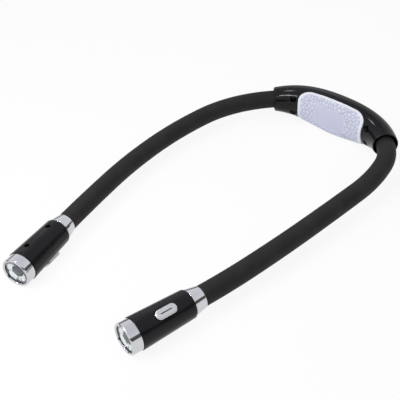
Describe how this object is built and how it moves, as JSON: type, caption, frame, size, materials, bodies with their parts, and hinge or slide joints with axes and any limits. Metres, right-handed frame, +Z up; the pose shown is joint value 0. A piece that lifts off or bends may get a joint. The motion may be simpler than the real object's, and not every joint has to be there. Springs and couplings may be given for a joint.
{
  "type": "neck reading light",
  "caption": "Reading light worn round the neck: a curved battery housing, bendable rubber-sleeved arms from its ends, and a barrel lamp head with a push button on each arm",
  "frame": {"origin": "centre of the small flat under the middle of the battery housing, on which it lies", "axes": "+Z up, the lamp heads point towards -Y, +Y points away from the neck behind the housing, X runs across the wearer; the arms dip about 1.1 degrees towards -Y so that the heads also touch the ground"},
  "size_m": [0.1568, 0.2757, 0.0301],
  "materials": {
    "shell_black": "gloss black moulded plastic with faint scuffs",
    "door_grey": "matte pale grey-lilac plastic under the pad",
    "pad_lilac": "soft matte lilac-white pad with a ring of small raised cells round a smooth oval",
    "contact_brass": "pressed spring brass",
    "cell_jacket": "plain blue jacket on a round cell",
    "steel": "plain steel",
    "sleeve_rubber": "matte near-black rubber sleeve",
    "chrome": "bright chrome plating",
    "reflector_plating": "bright vacuum plating on plastic",
    "clear_lens": "clear polished moulding",
    "light_board": "white board with a square light chip",
    "board_green": "green circuit board",
    "switch_black": "black push switch",
    "satin_silver": "satin silver"
  },
  "bodies": {
    "housing": {"outer_shell": "shell_black", "inner_shell": "shell_black", "contact_link": "contact_brass", "contact_positive": "contact_brass", "contact_negative": "contact_brass", "battery_cell_1": "cell_jacket", "battery_cell_2": "cell_jacket", "housing_screw_1": "steel", "housing_screw_2": "steel", "housing_screw_3": "steel", "housing_screw_4": "steel", "left_sleeve_1": "sleeve_rubber", "left_gooseneck_1": "steel", "left_gooseneck_clamp": "steel", "right_sleeve_1": "sleeve_rubber", "right_gooseneck_1": "steel", "right_gooseneck_clamp": "steel"},
    "battery_door": {"battery_door": "door_grey", "neck_pad": "pad_lilac"},
    "left_arm_1": {"left_sleeve_2": "sleeve_rubber", "left_gooseneck_2": "steel"},
    "left_arm_2": {"left_sleeve_3": "sleeve_rubber", "left_gooseneck_3": "steel"},
    "left_arm_3": {"left_sleeve_4": "sleeve_rubber", "left_gooseneck_4": "steel"},
    "left_head": {"left_sleeve_5": "sleeve_rubber", "left_gooseneck_5": "steel", "left_collar": "chrome", "left_button_half": "shell_black", "left_screw_half": "shell_black", "left_bezel": "chrome", "left_lens": "clear_lens", "left_reflector": "reflector_plating", "left_light_module": "light_board", "left_circuit_board": "board_green", "left_switch": "switch_black", "left_head_screw_1": "steel", "left_head_screw_2": "steel"},
    "left_button": {"left_button": "satin_silver"},
    "right_arm_1": {"right_sleeve_2": "sleeve_rubber", "right_gooseneck_2": "steel"},
    "right_arm_2": {"right_sleeve_3": "sleeve_rubber", "right_gooseneck_3": "steel"},
    "right_arm_3": {"right_sleeve_4": "sleeve_rubber", "right_gooseneck_4": "steel"},
    "right_head": {"right_sleeve_5": "sleeve_rubber", "right_gooseneck_5": "steel", "right_collar": "chrome", "right_button_half": "shell_black", "right_screw_half": "shell_black", "right_bezel": "chrome", "right_lens": "clear_lens", "right_reflector": "reflector_plating", "right_light_module": "light_board", "right_circuit_board": "board_green", "right_switch": "switch_black", "right_head_screw_1": "steel", "right_head_screw_2": "steel"},
    "right_button": {"right_button": "satin_silver"}
  },
  "joints": [
    {"name": "door_lift_off", "type": "slide", "parent": "housing", "child": "battery_door", "axis": [0, -1, 0], "range_m": [0, 0.014]},
    {"name": "left_base_swing", "type": "hinge", "parent": "housing", "child": "left_arm_1", "pos_m": [-0.0646, -0.03107, 0.01454], "axis": [0, -0.0189, 0.9998], "range_deg": [-30, 15]},
    {"name": "left_base_lift", "type": "hinge", "parent": "left_arm_1", "child": "left_arm_2", "pos_m": [-0.07598, -0.06496, 0.0139], "axis": [-0.9928, 0.1201, 0.0023], "range_deg": [-15, 38]},
    {"name": "left_tip_swing", "type": "hinge", "parent": "left_arm_2", "child": "left_arm_3", "pos_m": [-0.07715, -0.11486, 0.01296], "axis": [0, -0.0189, 0.9998], "range_deg": [-30, 25]},
    {"name": "left_tip_lift", "type": "hinge", "parent": "left_arm_3", "child": "left_head", "pos_m": [-0.06981, -0.16426, 0.01203], "axis": [0.9755, 0.2198, 0.0042], "range_deg": [-38, 25]},
    {"name": "left_button_push", "type": "slide", "parent": "left_head", "child": "left_button", "axis": [-0.6833, -0.1951, 0.7035], "range_m": [0, 0.0006], "stiffness_N_per_m": 800},
    {"name": "right_base_swing", "type": "hinge", "parent": "housing", "child": "right_arm_1", "pos_m": [0.06186, -0.03266, 0.0145], "axis": [0, -0.0194, 0.9998], "range_deg": [-15, 30]},
    {"name": "right_base_lift", "type": "hinge", "parent": "right_arm_1", "child": "right_arm_2", "pos_m": [0.06583, -0.06829, 0.01381], "axis": [-0.9992, 0.0401, 0.0008], "range_deg": [-15, 38]},
    {"name": "right_tip_swing", "type": "hinge", "parent": "right_arm_2", "child": "right_arm_3", "pos_m": [0.0633, -0.11822, 0.01284], "axis": [0, -0.0194, 0.9998], "range_deg": [-25, 30]},
    {"name": "right_tip_lift", "type": "hinge", "parent": "right_arm_3", "child": "right_head", "pos_m": [0.0592, -0.16804, 0.01188], "axis": [0.9947, -0.1028, -0.002], "range_deg": [-38, 25]},
    {"name": "right_button_push", "type": "slide", "parent": "right_head", "child": "right_button", "axis": [-0.4622, 0.0994, -0.8812], "range_m": [0, 0.0006], "stiffness_N_per_m": 800}
  ]
}
